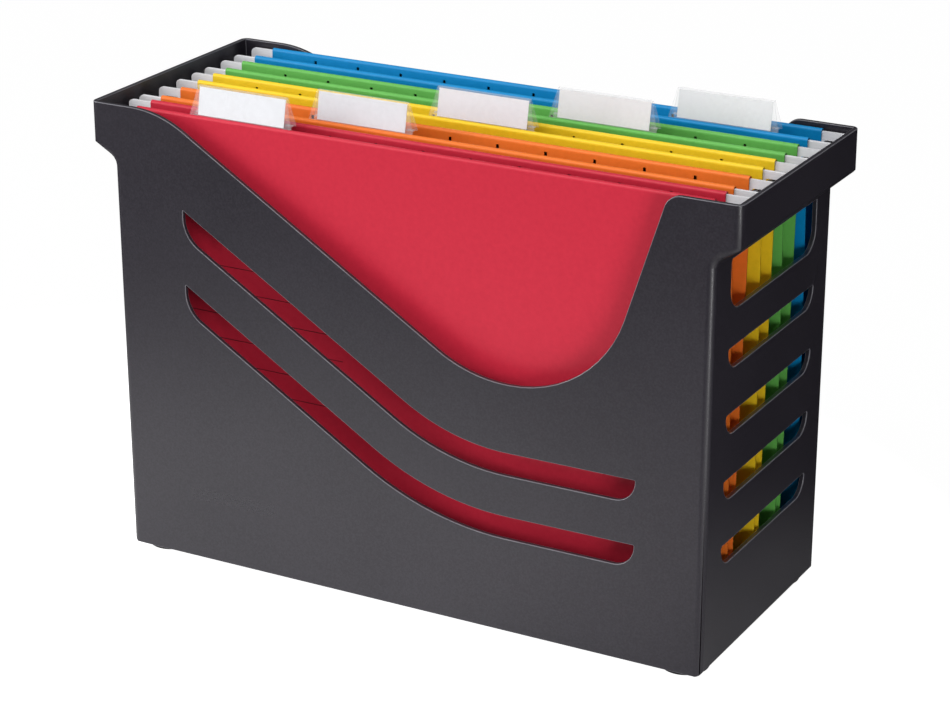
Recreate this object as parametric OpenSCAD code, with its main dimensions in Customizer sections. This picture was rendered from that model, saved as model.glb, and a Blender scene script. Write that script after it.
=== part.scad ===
// Portable file box: a one-piece moulded tub with swept cut-outs, and five
// suspension files that hang by their rails from two ledges inside its rim.
// Millimetres. X runs along the box, Y from front to back, Z up.
// The origin is on the table, under the middle of the box.

/* [Tub] */
// Length of the tub just under its shoulders
body_l = 334.5; // [300:0.5:380]
// Depth of the tub from front face to back face
box_d = 143; // [130:0.5:170]
// Height of the moulding, without its feet
box_h = 242; // [230:0.5:262]
// Thickness of every wall
wall = 2.5; // [2:0.1:3]
// Thickness of the floor
floor_t = 2.5; // [2:0.1:4]
// How much each end leans in from the shoulder down to the floor
draft = 1; // [0:0.1:2]
// Radius of the upright corners
corner_r = 4; // [3:0.1:5]
// Radius of the lower edge at each end
bottom_r = 3; // [1:0.1:4]

/* [Rim and ledges] */
// How far the rim stands out past the tub at each end
flare = 12.75; // [12:0.05:15]
// Height of the upright band of the rim
rim_h = 22; // [20:0.5:26]
// Slope of the shoulder under the rim, in degrees
shoulder_a = 30; // [24:1:34]
// Outer radius at the foot of the rim band
rim_r = 4.5; // [2:0.1:6]
// Radius in the hollow between shoulder and end wall
shoulder_r = 6; // [3:0.1:7]
// How far the ledge that the files hang on lies below the rim
ledge_drop = 7.8; // [7:0.1:9]
// Thickness of the ledge
ledge_t = 2.2; // [1.8:0.1:2.4]

/* [Swept front and back] */
// Height of the lowest point of the cut-out above the tub's underside
cut_low = 132.5; // [125:0.5:145]
// Distance of that lowest point from the right end of the tub
valley_in = 106.75; // [100:0.25:115]
// Distance from the left end to where the slope would meet the rim
crest_in = 28.5; // [26:0.5:34]
// Radius of the left crest
crest_r = 60; // [40:1:66]
// Radius of the valley on the side of the long slope
cut_r = 74; // [60:1:80]
// Radius of the valley on the side of the short rise
rise_r = 64; // [50:1:66]
// Angle of the short rise, in degrees
rise_a = 72; // [68:1:76]
// Radius of the corner at the top of the short rise
rise_top_r = 9; // [5:0.5:12]
// Band of wall between the cut-out and the upper swept slot
sweep_web = 36; // [30:0.5:40]
// Width of each swept slot
sweep_w = 12; // [9:0.5:14]
// Distance from one swept slot to the next, edge to edge
sweep_pitch = 34; // [30:0.5:37]
// Distance of the swept slots' tips from the left end
sweep_in_left = 41.25; // [36:0.25:50]
// Distance of the swept slots' blunt ends from the right end
sweep_in_right = 38; // [34:0.5:46]
// Radius under the tip of a swept slot
tip_r = 18; // [10:0.5:20]
// Radius under the blunt end of a swept slot
blunt_r = 11; // [5:0.5:11]

/* [End walls] */
// Width of the hand hole and of the slots under it
end_open_w = 103; // [90:1:110]
// Height of the hand hole
hand_h = 26; // [22:0.5:30]
// Band of wall between the hand hole and the shoulder
hand_web = 4.2; // [3:0.1:6]
// Radius of the hand hole's lower corners
hand_r = 11; // [6:0.5:11]
// Height of each slot in the end walls
end_slot_h = 11; // [8:0.5:13]
// Distance from one slot to the next
end_pitch = 34; // [30:0.5:38]
// Height of the lowest slot above the tub's underside
end_slot_z = 50.6; // [40:0.2:60]
// Least band of wall between the slots and the hand hole
end_web = 14; // [10:0.5:18]
// Radius of the slots' lower corners
end_slot_r = 10; // [4:0.5:10]
// Radius of the upper corners of the hand hole and slots
open_r = 1.2; // [0.5:0.1:2]

/* [Feet] */
// Diameter of each foot
foot_d = 25; // [18:0.5:26]
// Height of each foot
foot_h = 3; // [2:0.1:5]
// Distance of a foot's centre from the faces of the tub
foot_in = 15; // [14:0.5:20]

/* [Files] */
// Places of the ten rails on the ledges, front to back, as shares of the clear depth
rail_place = [0.051, 0.143, 0.209, 0.338, 0.452, 0.557, 0.644, 0.759, 0.851, 0.980]; // [0:0.001:1]
// How far all files hang to the right of the middle
file_x = 2.5; // [-2.5:0.1:2.5]
// Play of a rail at each end inside the rim
rail_play = 3.5; // [3:0.1:5]
// Play of a card at each end inside the tub
card_play = 4.75; // [4:0.25:8]
// Gap between the fold of a card and the floor
fold_clear = 6; // [4:0.5:12]
// Thickness of the card
card_t = 0.6; // [0.4:0.05:0.8]
// Width of the flat base of a pocket
base_w = 3; // [2.5:0.1:4]
// Height of the glued strip under a hem
glue_h = 6; // [4:0.5:10]

/* [Rails] */
// Height of a rail
rail_h = 12.5; // [11:0.1:13]
// Thickness of a rail
rail_t = 1.6; // [1.2:0.1:2]
// Height of the rail above the notch that hooks on the ledge
hook_h = 4.3; // [3.5:0.1:5]
// Width of the notch
notch_w = 10; // [9.6:0.1:11]
// Radius in the notch's upper corners
notch_r = 2; // [1:0.1:2.2]
// Radius of the rail's upper corners
rail_r = 2.5; // [1:0.1:3]
// Distance between the small punched slots
slot_pitch = 26.5; // [20:0.5:30]
// Number of punched slots on each side of the middle one
slots_each_side = 5; // [2:1:5]
// Depth of the punched slots below the card's top
slot_drop = 4.5; // [4:0.1:6]
// Width of a punched slot
slot_w = 1.6; // [1.2:0.1:2.2]
// Height of a punched slot
slot_h = 2; // [1.6:0.1:2.6]

/* [Tabs] */
// Places of the five tabs on their cards, red to blue, as shares of the card's length
tab_place = [0.1934, 0.37, 0.5253, 0.6938, 0.8575]; // [0.12:0.0001:0.88]
// Length of a tab at its foot
tab_l = 59.5; // [56:0.5:66]
// Length of a tab at its ridge
tab_top_l = 52; // [50:0.5:60]
// Height of a tab above the hem
tab_h = 15.1; // [13:0.1:18]
// How far the foot of the tab's front wall lies before the middle of the hem
tab_front = 0.8; // [0.5:0.1:1]
// How far its rear foot lies behind the middle of the hem
tab_rear = 5.2; // [4.5:0.1:6]
// Height of the rear foot above the hem
tab_rise = 0.8; // [0.6:0.1:1]
// How far the front of the ridge lies behind the middle of the hem
ridge_y = 2.6; // [2:0.1:3]
// Width of a tab's ridge
tab_ridge = 1.6; // [1.5:0.1:2.2]
// Thickness of the tab's plastic
tab_t = 0.5; // [0.4:0.05:0.6]
// Width of the label slip
label_l = 50.6; // [44:0.2:54]
// Thickness of the label slip
label_t = 0.3; // [0.2:0.05:0.4]
// Width of a tab's prongs
prong_w = 4; // [3:0.1:5]

/* [Clearances] */
// Gap between a hook and the ledge it rests on
seat_gap = 0.3; // [0.2:0.05:0.5]
// Extra room over the ledge for the rail of the opening flap
swing_gap = 0.4; // [0.4:0.05:0.6]
// Slack between a rail and the hem around it
hem_slack = 0.2; // [0.15:0.05:0.3]
// Gap between pieces that slide or turn past each other
run_gap = 0.3; // [0.2:0.05:0.4]

/* [Hidden] */

tub_colour = "#3a393d";
foot_colour = "#1c1b1d";
rail_colour = "#dcdce0";
tab_colour = [0.93, 0.94, 0.96, 0.35];
label_colour = "#e6e6ea";
card_colours = ["#d3263c", "#e0702a", "#e3c223", "#62ab4c", "#0a78b8"];

// How far a cutter runs past the face that it opens
past = 1;
arc_steps = 12;
$fn = 48;

// Heights, measured up from the table
tub_z = foot_h;
rim_z = tub_z + box_h;
floor_z = tub_z + floor_t;
ledge_z = rim_z - ledge_drop;

// The end outline, as half lengths at the floor, under the shoulder and at the rim
body_half = body_l / 2;
foot_half = body_half - draft;
rim_half = body_half + flare;
rim_foot_z = rim_z - rim_h;
shoulder_z = rim_foot_z - flare * tan(shoulder_a);
lean = draft / (shoulder_z - tub_z);
function half_at(z) = foot_half + (z - tub_z) * lean;
ledge_in = half_at(shoulder_z) - wall;
ledge_out = ledge_in + ledge_t;
ledge_mid = (ledge_in + ledge_out) / 2;
rim_in = rim_half - wall;
shelf_rise = wall / cos(shoulder_a);
function shelf_z(x) = shoulder_z + shelf_rise + (x - body_half) * tan(shoulder_a);
clear_d = box_d - 2 * wall;

// The swept curves: a long slope that bends into a level stretch
valley_x = body_half - valley_in;
sweep_low = tub_z + cut_low;
crest_x = -body_half + crest_in;
valley_flat = 1;
// Angle of the slope whose bend ends at the valley, by repeated correction
function slope_from(bend_x) = atan((rim_z - sweep_low) / (bend_x - crest_x));
function bend_from(a) = valley_x - valley_flat / 2 - cut_r * tan(a / 2);
slope_a = slope_from(bend_from(slope_from(bend_from(slope_from(bend_from(30))))));
bend_x = bend_from(slope_a);
rise_x = valley_x + valley_flat / 2 + rise_r * tan(rise_a / 2);
sweep_left = -body_half + sweep_in_left;
sweep_right = body_half - sweep_in_right;

// The openings in the end walls
hand_top = shoulder_z - hand_web;
hand_low = hand_top - hand_h;
end_slot_low = tub_z + end_slot_z;
end_slots = floor((hand_low - end_web - end_slot_h - end_slot_low) / end_pitch) + 1;
end_slot_low_r = min(end_slot_r, end_slot_h - open_r - 0.3);

// The files: rails, hems and folds
rail_l = 2 * (rim_in - rail_play);
card_l = 2 * (body_half - wall - card_play);
rail_top = ledge_z + seat_gap + hook_h;
fold_z = floor_z + fold_clear;
pocket_h = rail_top - fold_z;
hem_t = rail_t + 2 * hem_slack + 2 * card_t;
hem_off = (hem_t - card_t) / 2;
// Height of the hem's round top centre below the rail's top edge
hem_sink = 0.3;
top_over_rail = hem_t / 2 - hem_sink;
function rail_y(i) = (rail_place[i] - 0.5) * clear_d;
function gape(f) = (rail_y(2 * f + 1) - rail_y(2 * f)) / 2;
function file_y(f) = (rail_y(2 * f + 1) + rail_y(2 * f)) / 2;
function tilt(f) = atan((gape(f) - base_w / 2 + hem_off) / pocket_h);
function rail_r_top(f) = (pocket_h - hem_off * sin(tilt(f))) / cos(tilt(f));
function card_top(f) = rail_r_top(f) + top_over_rail;
function tab_x(f) = (tab_place[f] - 0.5) * card_l;

// Points of an arc that rounds the corner b between a and c
function unit(v) = v / norm(v);
function wrap(a) = a > 180 ? a - 360 : a < -180 ? a + 360 : a;
function fillet(a, b, c, r) =
    let (
        u = unit(a - b),
        v = unit(c - b),
        half = acos(u * v) / 2,
        centre = b + unit(u + v) * r / sin(half),
        p = b + u * r / tan(half) - centre,
        q = b + v * r / tan(half) - centre,
        start = atan2(p.y, p.x),
        turn = wrap(atan2(q.y, q.x) - start)
    )
    [for (i = [0:arc_steps]) centre + r * [cos(start + turn * i / arc_steps), sin(start + turn * i / arc_steps)]];

// A closed outline from corners given as [x, y, radius]
function corner(p) = [p.x, p.y];
function rounded(p) =
    let (n = len(p))
    [for (i = [0:n - 1]) each p[i][2] > 0
        ? fillet(corner(p[(i + n - 1) % n]), corner(p[i]), corner(p[(i + 1) % n]), p[i][2])
        : [corner(p[i])]];

// Upright plates cut from an outline, one facing the front, one facing the ends
module along_y(depth) { rotate([90, 0, 0]) linear_extrude(depth, center = true) children(); }
module along_x(length) { rotate([90, 0, 90]) linear_extrude(length, center = true) children(); }

// Tub
module end_outline() {
    right = [
        [foot_half, tub_z, bottom_r], [body_half, shoulder_z, shoulder_r],
        [rim_half, rim_foot_z, rim_r], [rim_half, rim_z, 0]
    ];
    left = [for (i = [len(right) - 1:-1:0]) [-right[i].x, right[i].y, right[i][2]]];
    polygon(rounded(concat(right, left)));
}

module inner_outline() {
    right = [
        [half_at(floor_z) - wall, floor_z], [ledge_in, ledge_z], [ledge_out, ledge_z],
        [ledge_out, shelf_z(ledge_out)], [rim_in, shelf_z(rim_in)], [rim_in, rim_z + past]
    ];
    left = [for (i = [len(right) - 1:-1:0]) [-right[i].x, right[i].y]];
    polygon(concat(right, left));
}

// The piece that rounds the front right corner, seen from above: the corner is at the origin,
// the tub lies on the -X and +Y side of it
module corner_profile() {
    polygon(concat([[past, -past]], [[-corner_r, -past]],
        fillet([-body_l, 0], [0, 0], [0, box_d], corner_r), [[past, corner_r]]));
}

// Rounds that corner along a straight stretch of the end outline
module straight_cutter(from, to) {
    run = norm(to - from);
    lean_a = atan2(to.x - from.x, to.y - from.y);
    translate([from.x, -box_d / 2, from.y]) rotate([0, lean_a, 0]) linear_extrude(run) corner_profile();
}

// Rounds it along the hollow under the shoulder, in straight stretches that meet on its radii
module hollow_cutter(centre, from_a, turn) {
    stretches = 3;
    reach = 2 * shoulder_r + corner_r;
    function on_ray(i, r) = let (a = from_a - turn * i / stretches) centre + r * [cos(a), sin(a)];
    for (i = [0:stretches - 1]) {
        along = unit(on_ray(i + 1, shoulder_r) - on_ray(i, shoulder_r)) * corner_r;
        intersection() {
            straight_cutter(on_ray(i, shoulder_r) - along, on_ray(i + 1, shoulder_r) + along);
            along_y(box_d + 4 * past) polygon([centre, on_ray(i, reach), on_ray(i + 1, reach)]);
        }
    }
}

module corner_cutters() {
    slope = [cos(shoulder_a), sin(shoulder_a)];
    lean_a = atan(lean);
    bend_a = 90 - lean_a - shoulder_a;
    hollow = [body_half, shoulder_z];
    knee = [rim_half, rim_foot_z];
    hollow_cut = shoulder_r * tan(bend_a / 2);
    wall_end = hollow - hollow_cut * [sin(lean_a), cos(lean_a)];
    foot = [half_at(tub_z - past), tub_z - past];
    // The stretches in the hollow start and end a little inside its arc, and the others reach past them
    inset_a = 1.5;
    overlap = 2 * shoulder_r * tan(inset_a);
    for (end = [0, 1], side = [0, 1]) mirror([end, 0, 0]) mirror([0, side, 0]) {
        straight_cutter(foot, wall_end + [0, overlap]);
        hollow_cutter(wall_end + shoulder_r * [cos(lean_a), -sin(lean_a)], 180 - lean_a - inset_a,
            bend_a - 2 * inset_a);
        straight_cutter(hollow + (hollow_cut - overlap) * slope, knee);
        straight_cutter(knee, [rim_half, rim_z + past]);
    }
}

module sweep_cutout() {
    crest = [crest_x, rim_z];
    bend = [bend_x, sweep_low];
    rise = [rise_x, sweep_low];
    top = [rise_x + (rim_z - sweep_low) / tan(rise_a), rim_z];
    edge = concat(
        fillet(crest - [body_l, 0], crest, bend, crest_r), fillet(crest, bend, rise, cut_r),
        fillet(bend, rise, top, rise_r), fillet(rise, top, top + [body_l, 0], rise_top_r)
    );
    polygon(concat([[edge[0].x, rim_z + past]], edge, [[edge[len(edge) - 1].x, rim_z + past]]));
}

// A swept slot whose upper edge runs a given distance under the cut-out's edge
module sweep_slot(under) {
    low = under + sweep_w;
    top_z = sweep_low - under;
    low_z = sweep_low - low;
    top_x = bend_x - under * tan(slope_a / 2);
    low_x = bend_x - low * tan(slope_a / 2);
    polygon(rounded([
        [sweep_left, top_z + (top_x - sweep_left) * tan(slope_a), 0],
        [sweep_left, low_z + (low_x - sweep_left) * tan(slope_a), tip_r],
        [low_x, low_z, cut_r + low],
        [sweep_right, low_z, blunt_r],
        [sweep_right, top_z, 0],
        [top_x, top_z, cut_r + under]
    ]));
}

module end_opening(low, high, low_r) {
    half = end_open_w / 2;
    polygon(rounded([[-half, low, low_r], [half, low, low_r], [half, high, open_r], [-half, high, open_r]]));
}

module tub() {
    color(tub_colour) difference() {
        along_y(box_d) end_outline();
        corner_cutters();
        along_y(clear_d) inner_outline();
        along_y(box_d + 2 * past) {
            sweep_cutout();
            sweep_slot(sweep_web);
            sweep_slot(sweep_web + sweep_pitch);
        }
        along_x(body_l + 2 * past) {
            end_opening(hand_low, hand_top, hand_r);
            for (i = [0:end_slots - 1])
                translate([0, i * end_pitch]) end_opening(end_slot_low, end_slot_low + end_slot_h, end_slot_low_r);
        }
    }
}

// Feet
module foot(end, side) {
    edge = foot_h * 0.6;
    color(foot_colour)
    translate([end * (foot_half - foot_in), side * (box_d / 2 - foot_in), 0]) rotate_extrude()
        polygon(concat([[0, 0]], fillet([0, 0], [foot_d / 2, 0], [foot_d / 2, foot_h], edge),
            [[foot_d / 2, foot_h], [0, foot_h]]));
}

// Puts a flap's own frame in place: the fold line is its X axis, the flap stands up along Z,
// and the inside of the pocket is on its +Y side
module at_front_flap(f) {
    translate([file_x, file_y(f) - base_w / 2, fold_z]) rotate([tilt(f), 0, 0]) children();
}

module at_back_flap(f) {
    translate([file_x, file_y(f) + base_w / 2, fold_z]) mirror([0, 1, 0]) rotate([tilt(f), 0, 0]) children();
}

// Card
module flap_section(top) {
    rail_low = top - top_over_rail - rail_h;
    hem_low = rail_low - hem_slack - card_t;
    round_z = top - hem_t / 2;
    translate([-card_t / 2, 0]) square([card_t, hem_low + card_t]);
    translate([card_t / 2, hem_low - glue_h]) square([card_t, glue_h + card_t / 2]);
    difference() {
        union() {
            translate([-card_t / 2, hem_low]) square([hem_t, round_z - hem_low]);
            translate([hem_off, round_z]) circle(hem_t / 2);
        }
        translate([card_t / 2, hem_low + card_t]) square([hem_t - 2 * card_t, round_z - hem_low - card_t]);
        translate([hem_off, round_z]) circle(hem_t / 2 - card_t);
    }
}

// The punched slots: from the pocket side through the hem's inner layer and the rail, up to its outer layer
module punches(places, z) {
    for (x = places)
        translate([x - slot_w / 2, card_t / 2 + hem_slack / 2, z - slot_h / 2]) cube([slot_w, hem_t, slot_h]);
}

function row_places() = [for (i = [-slots_each_side:slots_each_side]) i * slot_pitch];
function tab_places(f) = [for (s = [-1, 1]) tab_x(f) + s * slot_pitch];

module front_card(f) {
    color(card_colours[f]) at_front_flap(f) difference() {
        union() {
            along_x(card_l) flap_section(card_top(f));
            along_x(card_l) circle(card_t / 2);
        }
        punches(tab_places(f), card_top(f) - slot_drop);
    }
}

module back_card(f) {
    color(card_colours[f]) at_back_flap(f) difference() {
        along_x(card_l) {
            flap_section(card_top(f));
            translate([-card_t / 2, -card_t / 2]) square([base_w - run_gap, card_t]);
        }
        punches(row_places(), card_top(f) - slot_drop);
    }
}

// Rails
module rail_outline(hook) {
    half = rail_l / 2;
    right = [
        [ledge_mid - notch_w / 2, -rail_h, 0], [ledge_mid - notch_w / 2, -hook, notch_r],
        [ledge_mid + notch_w / 2, -hook, notch_r], [ledge_mid + notch_w / 2, -rail_h, 0],
        [half, -rail_h, rail_r / 2], [half, 0, rail_r]
    ];
    left = [for (i = [len(right) - 1:-1:0]) [-right[i].x, right[i].y, right[i][2]]];
    polygon(rounded(concat(right, left)));
}

module rail(f, hook, places) {
    color(rail_colour) difference() {
        translate([0, hem_off, rail_r_top(f)]) along_y(rail_t) rail_outline(hook);
        punches(places, card_top(f) - slot_drop);
    }
}

module front_rail(f) { at_front_flap(f) rail(f, hook_h - swing_gap, tab_places(f)); }
module back_rail(f) { at_back_flap(f) rail(f, hook_h, row_places()); }

// Tabs: outlines across the tab, measured from the middle of the hem's top
tab_low = seat_gap;
lean_share = (ridge_y + tab_front) / (tab_h - tab_low);
face_a = atan(lean_share);
front_skin = tab_t / cos(face_a);
rear_share = (tab_rear - ridge_y - tab_ridge) / (tab_h - tab_rise);
rear_skin = tab_t / cos(atan(rear_share));
// Inner faces of the front wall and the rear leg at a height above the hem's top
function face_y(z) = -tab_front + front_skin + (z - tab_low) * lean_share;
function leg_y(z) = tab_rear - rear_skin - (z - tab_rise) * rear_share;
roof_z = tab_h - tab_t;
label_low = tab_low + run_gap / 2;
label_h = (roof_z - run_gap - label_low) / cos(face_a);
function tab_half(z) = (tab_l - (tab_l - tab_top_l) * z / tab_h) / 2;

module tab_section() {
    difference() {
        polygon([[-tab_front, tab_low], [tab_rear, tab_rise], [ridge_y + tab_ridge, tab_h], [ridge_y, tab_h]]);
        polygon([[face_y(-past), -past], [leg_y(-past), -past], [leg_y(roof_z), roof_z], [face_y(roof_z), roof_z]]);
    }
}

// A prong reaches from the rear leg to the back of the hem and hooks into a punched slot
module prong() {
    near = hem_t / 2 + run_gap;
    far = near + tab_t;
    bridge_z = tab_rise + tab_t;
    root = tab_rear - rear_skin / 2;
    tongue_low = -slot_drop - slot_h / 2;
    pin_w = slot_w - 2 * run_gap;
    pin_h = slot_h - 2 * run_gap;
    pin_end = rail_t / 4;
    along_x(prong_w) polygon([
        [near, bridge_z], [near, tongue_low], [far, tongue_low], [far, tab_rise], [root, tab_rise], [root, bridge_z]
    ]);
    translate([-pin_w / 2, pin_end, -slot_drop - pin_h / 2]) cube([pin_w, near + tab_t / 2 - pin_end, pin_h]);
}

module at_tab(f) {
    at_front_flap(f) translate([tab_x(f), hem_off, card_top(f)]) children();
}

module tab(f) {
    over = tab_h + past;
    color(tab_colour) at_tab(f) {
        intersection() {
            along_x(tab_l + 2 * past) tab_section();
            along_y(4 * tab_rear) polygon([
                [-tab_half(-past), -past], [tab_half(-past), -past], [tab_half(over), over], [-tab_half(over), over]
            ]);
        }
        for (s = [-1, 1]) translate([s * slot_pitch, 0, 0]) prong();
    }
}

module label(f) {
    color(label_colour) at_tab(f)
    translate([-label_l / 2, face_y(label_low) + run_gap / 2, label_low]) rotate([-face_a, 0, 0])
        cube([label_l, label_t, label_h]);
}

tub();
foot(-1, -1);  // foot_front_left
foot(1, -1);  // foot_front_right
foot(-1, 1);  // foot_back_left
foot(1, 1);  // foot_back_right
front_card(0);  // red_front_card
back_card(0);  // red_back_card
front_rail(0);  // red_front_rail
back_rail(0);  // red_back_rail
tab(0);  // red_tab
label(0);  // red_label
front_card(1);  // orange_front_card
back_card(1);  // orange_back_card
front_rail(1);  // orange_front_rail
back_rail(1);  // orange_back_rail
tab(1);  // orange_tab
label(1);  // orange_label
front_card(2);  // yellow_front_card
back_card(2);  // yellow_back_card
front_rail(2);  // yellow_front_rail
back_rail(2);  // yellow_back_rail
tab(2);  // yellow_tab
label(2);  // yellow_label
front_card(3);  // green_front_card
back_card(3);  // green_back_card
front_rail(3);  // green_front_rail
back_rail(3);  // green_back_rail
tab(3);  // green_tab
label(3);  // green_label
front_card(4);  // blue_front_card
back_card(4);  // blue_back_card
front_rail(4);  // blue_front_rail
back_rail(4);  // blue_back_rail
tab(4);  // blue_tab
label(4);  // blue_label
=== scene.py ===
"""Looks of the portable file box: a moulded tub and five card files with clear tabs."""
import math

import bpy
from mathutils import Matrix, Vector

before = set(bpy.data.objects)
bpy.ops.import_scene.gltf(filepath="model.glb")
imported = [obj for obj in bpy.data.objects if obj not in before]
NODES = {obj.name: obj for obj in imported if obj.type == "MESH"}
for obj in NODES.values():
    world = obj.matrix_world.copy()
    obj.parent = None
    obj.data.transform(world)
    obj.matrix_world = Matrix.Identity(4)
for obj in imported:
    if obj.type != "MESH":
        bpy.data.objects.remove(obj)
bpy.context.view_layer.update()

MM = 0.001
COLOURS = ["red", "orange", "yellow", "green", "blue"]

# The camera's direction and roll in degrees, its aim in mm and its distance in metres
CAMERA_AZIMUTH, CAMERA_ELEVATION, CAMERA_ROLL = 28.742, 21.253, -0.065
CAMERA_AIM_MM = (3.16, 0.0, 112.5)
CAMERA_DISTANCE = 1.4739
# Focal length in pixels of a picture 950 wide, and the width of the sensor in mm
FOCAL_PIXELS, PICTURE_WIDTH, SENSOR_MM = 2858.3, 950.0, 36.0

CARD_INKS = {"red": "#c4253b", "orange": "#ea7628", "yellow": "#efcb22", "green": "#65b453", "blue": "#0086c4"}

# Two places on the tub's vertical corners whose edges stay unrounded, as low and high X, Y, Z without
# sign, in mm: the shoulder under the rim, and the line where the corner meets the end wall
TUB_SHOULDER = ((160, 64, 195), (173, 80, 224))
TUB_CORNER_LINE = ((166, 67, 2), (168, 68, 224))


def aim_camera():
    """The photograph's view: from the front right and above, through a long lens."""
    azimuth, elevation, roll = (math.radians(a) for a in (CAMERA_AZIMUTH, CAMERA_ELEVATION, CAMERA_ROLL))
    back = Vector((math.sin(azimuth) * math.cos(elevation),
                   -math.cos(azimuth) * math.cos(elevation), math.sin(elevation)))
    right = (-back).cross(Vector((0, 0, 1))).normalized()
    up = right.cross(-back)
    right, up = (math.cos(roll) * right + math.sin(roll) * up,
                 -math.sin(roll) * right + math.cos(roll) * up)
    data = bpy.data.cameras.new("studio_camera")
    data.sensor_width = SENSOR_MM
    data.lens = SENSOR_MM * FOCAL_PIXELS / PICTURE_WIDTH
    data.clip_start, data.clip_end = 0.05, 30.0
    camera = bpy.data.objects.new("studio_camera", data)
    turn = Matrix((right, up, back)).transposed().to_4x4()
    camera.matrix_world = Matrix.Translation(Vector(CAMERA_AIM_MM) * MM + back * CAMERA_DISTANCE) @ turn
    bpy.context.scene.collection.objects.link(camera)
    bpy.context.scene.camera = camera


def linear(hex_colour):
    """An sRGB hex colour as linear red, green, blue and a full alpha."""
    parts = [int(hex_colour[i:i + 2], 16) / 255 for i in (1, 3, 5)]
    return tuple(p / 12.92 if p <= 0.04045 else ((p + 0.055) / 1.055) ** 2.4 for p in parts) + (1.0,)


def feed(tree, node, inputs):
    """Sets or links a node's inputs, by name or number. Each value is a number, a vector, a colour or
    another node's output socket."""
    for key, value in inputs.items():
        if isinstance(value, bpy.types.NodeSocket):
            tree.links.new(value, node.inputs[key])
        else:
            node.inputs[key].default_value = value


def add(tree, kind, inputs=None, **attributes):
    """Adds a shader node, sets its attributes and feeds its inputs."""
    made = tree.nodes.new("ShaderNode" + kind)
    for name, value in attributes.items():
        setattr(made, name, value)
    feed(tree, made, inputs or {})
    return made


def start(name, inputs):
    """A new material with a Principled shader whose inputs are set. Returns the material, its tree, the
    shader and the object's own coordinates."""
    material = bpy.data.materials.new(name)
    material.use_nodes = True
    tree = material.node_tree
    shader = tree.nodes["Principled BSDF"]
    feed(tree, shader, inputs)
    return material, tree, shader, add(tree, "TexCoord").outputs["Object"]


def noise(tree, place, size_mm, detail, roughness=0.5):
    """Smooth noise from 0 to 1 with features of about the given size."""
    return add(tree, "TexNoise", {"Scale": 1 / (size_mm * MM), "Detail": detail, "Roughness": roughness,
                                  "Vector": place}).outputs["Fac"]


def span(tree, value, at_0, at_1):
    """Maps a value from 0 to 1 onto the stretch between two values."""
    return add(tree, "MapRange", {"Value": value, "To Min": at_0, "To Max": at_1}).outputs["Result"]


def ramp_between(tree, source, low, high, low_colour, high_colour):
    """Maps a value between low and high onto two colours."""
    made = add(tree, "ValToRGB", {"Fac": source})
    ends = made.color_ramp.elements
    ends[0].position, ends[0].color = low, low_colour
    ends[1].position, ends[1].color = high, high_colour
    return made.outputs["Color"]


def mix_colours(tree, share, first, second, blend="MIX"):
    """Mixes a share of the second colour into the first."""
    # The Mix node's colour inputs and output have these numbers
    made = add(tree, "Mix", data_type="RGBA", blend_type=blend)
    feed(tree, made, {0: share, 6: first, 7: second})
    return made.outputs[2]


def bump(tree, height, depth_mm, strength):
    """A normal that raises the surface by the height times the depth."""
    return add(tree, "Bump", {"Height": height, "Distance": depth_mm * MM, "Strength": strength}).outputs["Normal"]


def calc(tree, operation, *values):
    """The result of a Math node."""
    return add(tree, "Math", dict(enumerate(values)), operation=operation).outputs[0]


def within(tree, value, middle, half):
    """1 where a length is less than half away from the middle, both in mm, and 0 elsewhere."""
    away = calc(tree, "ABSOLUTE", calc(tree, "SUBTRACT", value, middle * MM))
    return calc(tree, "LESS_THAN", away, half * MM)


def repeated(tree, value, first, pitch, half):
    """1 less than half away from the first place or one that follows or precedes it by the pitch, in mm."""
    along = calc(tree, "SUBTRACT", value, (first - pitch / 2) * MM)
    return within(tree, calc(tree, "FLOORED_MODULO", along, pitch * MM), pitch / 2, half)


def all_of(tree, tests):
    """1 where every test is 1, and 0 elsewhere."""
    result = tests[0]
    for test in tests[1:]:
        result = calc(tree, "MULTIPLY", result, test)
    return result


def bare_panel(tree, place):
    """1 inside the smooth, bare rectangle of 52 by 7 mm low on the front face, 0 outside it."""
    split = add(tree, "SeparateXYZ", {"Vector": place})
    return all_of(tree, [within(tree, split.outputs[axis], middle, half)
                         for axis, middle, half in (("X", -100.6, 26.0), ("Z", 39.5, 3.5), ("Y", -71.5, 1.0))])


def moulded_polypropylene():
    """Charcoal polypropylene from a spark-eroded mould: a fine even grain that breaks up reflections,
    and one smooth, bare panel low on the front."""
    material, tree, shader, place = start("moulded_polypropylene_charcoal",
                                          {"IOR": 1.49, "Specular IOR Level": 0.6})
    # Slow, faint changes of tone as the melt leaves them, about 90 mm across
    flow = noise(tree, place, 90, 2.0)
    tone = ramp_between(tree, flow, 0.35, 0.65, linear("#211e25"), linear("#252229"))
    # Specks about 0.9 mm apart painted paler: a painted sheen on the grain's polished tips
    sheen_speck = noise(tree, place, 0.9, 2.0)
    painted_tip_sheen = ramp_between(tree, sheen_speck, 0.35, 0.75, linear("#000000"), linear("#2b2a2e"))
    # The eroded grain is about 0.25 mm; it is drawn at 0.6 mm so that it just shows. The bare panel
    # has almost none of it
    grain = noise(tree, place, 0.6, 3.0, 0.55)
    panel = bare_panel(tree, place)
    feed(tree, shader, {
        "Base Color": mix_colours(tree, 0.45, tone, painted_tip_sheen, "ADD"),
        "Roughness": calc(tree, "MULTIPLY", span(tree, grain, 0.27, 0.38), span(tree, panel, 1.0, 0.8)),
        "Normal": bump(tree, grain, 0.06, span(tree, panel, 0.6, 0.04))})
    return material


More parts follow.
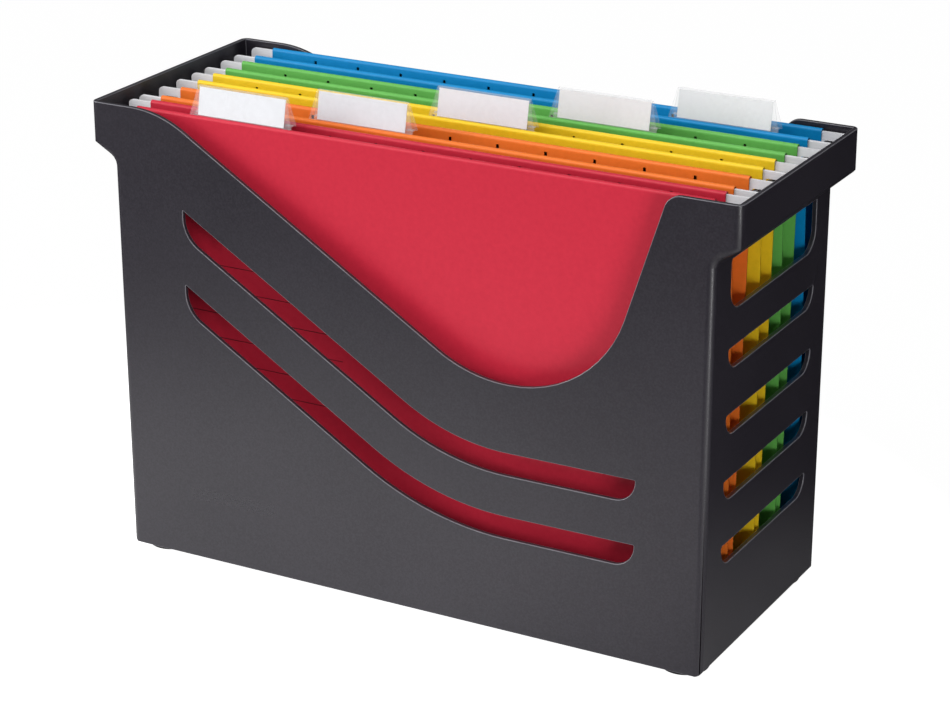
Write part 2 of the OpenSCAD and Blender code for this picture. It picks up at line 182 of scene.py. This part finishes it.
def painted_highlight_edge():
    """The same polypropylene on the tub's rounded edges: left smooth, and painted a little paler as a highlight, so
    that every opening is drawn with a fine light line."""
    material, tree, shader, place = start("polypropylene_edge_painted_highlight", {"IOR": 1.49})
    # Slightly uneven along its length, about 5 mm
    wear = noise(tree, place, 5, 3.0)
    feed(tree, shader, {
        "Base Color": ramp_between(tree, wear, 0.3, 0.7, linear("#5c5b61"), linear("#6c6b71")),
        "Roughness": span(tree, wear, 0.24, 0.34)})
    return material


def moulded_rubber():
    """Black thermoplastic rubber from a polished mould: smooth, with soft dull reflections."""
    material, tree, shader, place = start("moulded_rubber_black", {"IOR": 1.52})
    # Dust and handling leave faint duller patches, about 6 mm across
    wear = noise(tree, place, 6, 4.0)
    feed(tree, shader, {
        "Base Color": ramp_between(tree, wear, 0.3, 0.7, linear("#19181a"), linear("#232225")),
        "Roughness": span(tree, wear, 0.28, 0.5)})
    return material


def slot_shade_mask(tree, place):
    """1 in the slots of 1.6 by 2 mm punched through a rail every 26.5 mm, where the rail is painted dark as shade,
    and 0 elsewhere.
    """
    split = add(tree, "SeparateXYZ", {"Vector": place})
    # The first slot is in the file's middle, and the last are inside the hem, 156 mm either way
    return all_of(tree, [repeated(tree, split.outputs["X"], 2.5, 26.5, 0.9),
                         within(tree, split.outputs["Z"], 238.6, 1.3),
                         within(tree, split.outputs["X"], 0.0, 156)])


def extruded_polystyrene():
    """Pale grey polystyrene strip, extruded: smooth, with very fine lines along its length, and painted shade, near
    black, inside its punched slots."""
    material, tree, shader, place = start("extruded_polystyrene_grey", {"IOR": 1.59})
    # Extrusion lines about 0.4 mm apart, stretched fiftyfold along the strip
    stretch = add(tree, "Mapping", {"Vector": place, "Scale": (0.02, 1.0, 1.0)})
    lines = noise(tree, stretch.outputs["Vector"], 0.4, 2.0)
    tone = ramp_between(tree, lines, 0.3, 0.7, linear("#e6e6ea"), linear("#eeeef1"))
    feed(tree, shader, {
        # Inside the slots the strip is painted near black: painted shade on the slots' walls
        "Base Color": mix_colours(tree, slot_shade_mask(tree, place), tone, linear("#161618")),
        "Roughness": span(tree, lines, 0.30, 0.42),
        "Normal": bump(tree, lines, 0.02, 0.3)})
    return material


def clear_pvc():
    """Clear PVC sheet, folded and thin: a faint white film that grows denser where it turns away from
    the eye, with slow waves in its reflections."""
    material, tree, shader, place = start("folded_pvc_clear", {"IOR": 1.53, "Specular IOR Level": 0.5})
    # The sheet's waves are about 14 mm long
    waves = noise(tree, place, 14, 1.0)
    turned = add(tree, "LayerWeight", {"Blend": 0.35}).outputs["Facing"]
    film = add(tree, "MapRange", {"Value": turned, "From Min": 0.1, "From Max": 1.0, "To Min": 0.07, "To Max": 0.5})
    feed(tree, shader, {
        "Base Color": ramp_between(tree, waves, 0.3, 0.7, linear("#eceef1"), linear("#f4f5f8")),
        "Roughness": span(tree, waves, 0.06, 0.14),
        "Alpha": film.outputs["Result"],
        "Normal": bump(tree, waves, 0.1, 0.25)})
    return material


def plain_paper():
    """Uncoated white paper slip: matt, with the cloudy look of its fibres."""
    material, tree, shader, place = start("uncoated_paper_white",
                                          {"IOR": 1.5, "Specular IOR Level": 0.3, "Roughness": 0.75})
    # Fibre clouds about 2 mm across
    cloud = noise(tree, place, 2, 5.0, 0.6)
    feed(tree, shader, {
        "Base Color": ramp_between(tree, cloud, 0.3, 0.7, linear("#e4e4e7"), linear("#ecedf0")),
        "Normal": bump(tree, cloud, 0.03, 0.2)})
    return material


def ruled_lines(tree, place):
    """1 on six printed lines 0.45 mm thick and 13.3 mm apart on the left of a front flap, 0 elsewhere."""
    split = add(tree, "SeparateXYZ", {"Vector": place})
    normal = add(tree, "NewGeometry").outputs["True Normal"]
    facing = add(tree, "SeparateXYZ", {"Vector": normal})
    # Lines lie at heights of 98.6 mm and every 13.3 mm above it up to 165.1 mm, from X -140 to -39.5 mm,
    # on the side that faces the front
    return all_of(tree, [repeated(tree, split.outputs["Z"], 98.6, 13.3, 0.225),
                         within(tree, split.outputs["Z"], 131.85, 39.85),
                         within(tree, split.outputs["X"], -89.75, 50.25),
                         calc(tree, "LESS_THAN", facing.outputs["Y"], -0.5)])


def coloured_card(colour):
    """Pressed card dyed in the pulp: matt, with short fibres and a slightly mottled colour. The outside of
    the front flap is printed with a block of six thin ruled lines for notes."""
    ink = linear(CARD_INKS[colour])[:3]
    material, tree, shader, place = start("pressed_card_" + colour,
                                          {"IOR": 1.48, "Specular IOR Level": 0.35, "Roughness": 0.42})
    dark = tuple(c * 0.95 for c in ink) + (1.0,)
    light = tuple(min(1.0, c * 1.03 + 0.003) for c in ink) + (1.0,)
    print_colour = tuple(c * 0.16 + 0.008 for c in ink) + (1.0,)
    # Mottling about 3 mm across, fibres about 0.5 mm
    mottle = noise(tree, place, 3, 6.0, 0.62)
    fibres = noise(tree, place, 0.5, 3.0, 0.55)
    tone = ramp_between(tree, mottle, 0.3, 0.7, dark, light)
    feed(tree, shader, {
        "Base Color": mix_colours(tree, ruled_lines(tree, place), tone, print_colour),
        "Normal": bump(tree, fibres, 0.04, 0.3)})
    return material


def mark_edges(piece, angle, left_out):
    """Marks for rounding each edge where two faces meet at more than the angle, apart from those with both
    ends in a box left out (low and high X, Y, Z without sign, in mm). The import splits the mesh at such
    edges, so faces are matched by the places of their corners."""
    mesh = piece.data
    same_place = 0.01 * MM

    def spot(vertex):
        return tuple(round(c / same_place) for c in mesh.vertices[vertex].co)

    def out(edge, low, high):
        return all(a <= abs(c) / MM <= b for v in edge.vertices
                   for a, c, b in zip(low, mesh.vertices[v].co, high))

    meeting = {}
    for face in mesh.polygons:
        for pair in face.edge_keys:
            meeting.setdefault(frozenset(spot(v) for v in pair), []).append(face.normal.copy())
    weights = mesh.attributes.new("bevel_weight_edge", "FLOAT", "EDGE")
    for edge in mesh.edges:
        normals = meeting.get(frozenset(spot(v) for v in edge.vertices), ())
        sharp = len(normals) == 2 and normals[0].angle(normals[1], 0.0) > math.radians(angle)
        if sharp and not any(out(edge, low, high) for low, high in left_out):
            weights.data[edge.index].value = 1.0


def dress(name, material, edge_mm=0.0, segments=2, angle=30, edge=None, weld_mm=0.002, left_out=None):
    """Gives a CAD node its finish and rounds its sharp edges a little, in a finish of their own
    where one is given. With places left out, only marked edges are rounded, and by the full width."""
    piece = NODES[name]
    piece.data.materials.clear()
    piece.data.materials.append(material)
    if edge:
        piece.data.materials.append(edge)
    for face in piece.data.polygons:
        face.use_smooth = True
    weld = piece.modifiers.new("weld", "WELD")
    weld.merge_threshold = weld_mm * MM
    if edge_mm:
        flat = piece.modifiers.new("flat_faces", "DECIMATE")
        flat.decimate_type = "DISSOLVE"
        flat.angle_limit = math.radians(0.5)
        bevel = piece.modifiers.new("edge_radius", "BEVEL")
        bevel.width = edge_mm * MM
        bevel.segments = segments
        if left_out:
            mark_edges(piece, angle, left_out)
            bevel.limit_method = "WEIGHT"
        else:
            bevel.limit_method = "ANGLE"
            bevel.angle_limit = math.radians(angle)
        bevel.use_clamp_overlap = not left_out
        bevel.miter_outer = "MITER_ARC"
        bevel.harden_normals = False
        bevel.material = 1 if edge else -1
    shade = piece.modifiers.new("even_shading", "WEIGHTED_NORMAL")
    shade.keep_sharp = False
    shade.weight = 80


def light_room(scene):
    """A white background for the camera, and a soft room that lights the object."""
    world = bpy.data.worlds.new("studio_world")
    scene.world = world
    world.use_nodes = True
    tree = world.node_tree
    tree.nodes.clear()
    # The camera sees white behind the object, also through the clear tabs
    rays = add(tree, "LightPath").outputs
    direct = calc(tree, "LESS_THAN", rays["Diffuse Depth"], 0.5)
    through = calc(tree, "MULTIPLY", rays["Is Transmission Ray"], direct)
    seen = calc(tree, "MAXIMUM", rays["Is Camera Ray"], through)
    # The room is brightest high on the front left and falls off to the right and behind
    way = add(tree, "TexCoord").outputs["Generated"]
    toward = add(tree, "VectorMath", {0: way, 1: (-0.30, -0.35, 0.89)}, operation="DOT_PRODUCT")
    level = add(tree, "MapRange", {"Value": toward.outputs["Value"],
                                   "From Min": 0.2, "From Max": 1.0, "To Min": 0.05, "To Max": 0.65})
    fill = add(tree, "Background", {"Color": linear("#ffffff"), "Strength": level.outputs["Result"]})
    white = add(tree, "Background", {"Color": linear("#ffffff"), "Strength": 1.0})
    mix = add(tree, "MixShader", {0: seen, 1: fill.outputs[0], 2: white.outputs[0]})
    add(tree, "OutputWorld", {"Surface": mix.outputs[0]})


def lay_floor(scene):
    """Backdrop paper under the object, that the camera sees as white with the object's soft shadow."""
    size = 3.0
    mesh = bpy.data.meshes.new("studio_floor")
    mesh.from_pydata([(-size, -size, 0), (size, -size, 0), (size, size, 0), (-size, size, 0)], [], [(0, 1, 2, 3)])
    floor = bpy.data.objects.new("studio_floor", mesh)
    scene.collection.objects.link(floor)
    material, tree, shader, place = start("white_backdrop_paper", {"Roughness": 0.9, "Specular IOR Level": 0.1})
    # White sheets in front of the box and off its right front corner; grey paper around them keeps
    # light off the box's right end
    front, side = (add(tree, "VectorMath", {0: place, 1: sheet}, operation="DISTANCE").outputs["Value"]
                   for sheet in ((-0.12, -0.12, 0.0), (0.42, -0.21, 0.0)))
    near = calc(tree, "MINIMUM", front, calc(tree, "ADD", side, 0.12))
    tone = ramp_between(tree, near, 0.15, 0.45, linear("#fafafa"), linear("#181818"))
    feed(tree, shader, {"Base Color": tone})
    # Seen by the camera the paper is lifted to white
    rays = add(tree, "LightPath")
    lift = add(tree, "Emission", {"Color": linear("#ffffff"), "Strength": 0.985})
    dark = add(tree, "Emission", {"Color": linear("#000000"), "Strength": 0.0})
    seen = add(tree, "MixShader", {0: rays.outputs["Is Camera Ray"], 1: dark.outputs[0], 2: lift.outputs[0]})
    total = add(tree, "AddShader", {0: shader.outputs[0], 1: seen.outputs[0]})
    feed(tree, tree.nodes["Material Output"], {"Surface": total.outputs[0]})
    mesh.materials.append(material)


def hang_lamp(scene, name, place, aim, width, height, watts):
    """A rectangular soft lamp that the camera doesn't see."""
    data = bpy.data.lights.new(name, "AREA")
    data.shape, data.size, data.size_y, data.energy = "RECTANGLE", width, height, watts
    lamp = bpy.data.objects.new(name, data)
    lamp.visible_camera = False
    lamp.location = place
    lamp.rotation_euler = (Vector(aim) - Vector(place)).to_track_quat("-Z", "Y").to_euler()
    scene.collection.objects.link(lamp)


def studio():
    """A pale floor, a white background and soft light from above, the left and the right."""
    scene = bpy.context.scene
    scene.view_settings.view_transform = "Standard"
    light_room(scene)
    lay_floor(scene)
    hang_lamp(scene, "soft_over", (0.05, -0.75, 1.4), (0, 0, 0.15), 1.7, 0.5, 14)
    hang_lamp(scene, "soft_left", (-0.95, -0.5, 0.45), (-0.05, 0, 0.14), 0.5, 0.5, 8)
    hang_lamp(scene, "soft_right", (1.35, -0.95, 0.22), (0.1, 0, 0.14), 0.5, 0.5, 10)
    # A low strip that draws the light line down the right front corner
    hang_lamp(scene, "corner_strip", (0.60, -0.31, 0.06), (0.167, -0.07, 0.2), 0.08, 0.13, 0.35)


aim_camera()
studio()

tub_plastic = moulded_polypropylene()
foot_rubber = moulded_rubber()
rail_plastic = extruded_polystyrene()
tab_plastic = clear_pvc()
slip_paper = plain_paper()

# The tub's rounded edges take the paler edge finish: a painted highlight along every opening
dress("tub", tub_plastic, edge_mm=0.4, segments=3, angle=60, edge=painted_highlight_edge(), weld_mm=0.08,
      left_out=(TUB_SHOULDER, TUB_CORNER_LINE))
for corner in ("front_left", "front_right", "back_left", "back_right"):
    dress("foot_" + corner, foot_rubber)
for colour in COLOURS:
    card = coloured_card(colour)
    for side in ("front", "back"):
        dress(colour + "_" + side + "_card", card)
        dress(colour + "_" + side + "_rail", rail_plastic, edge_mm=0.25)
    dress(colour + "_tab", tab_plastic, edge_mm=0.15)
    dress(colour + "_label", slip_paper, edge_mm=0.1)
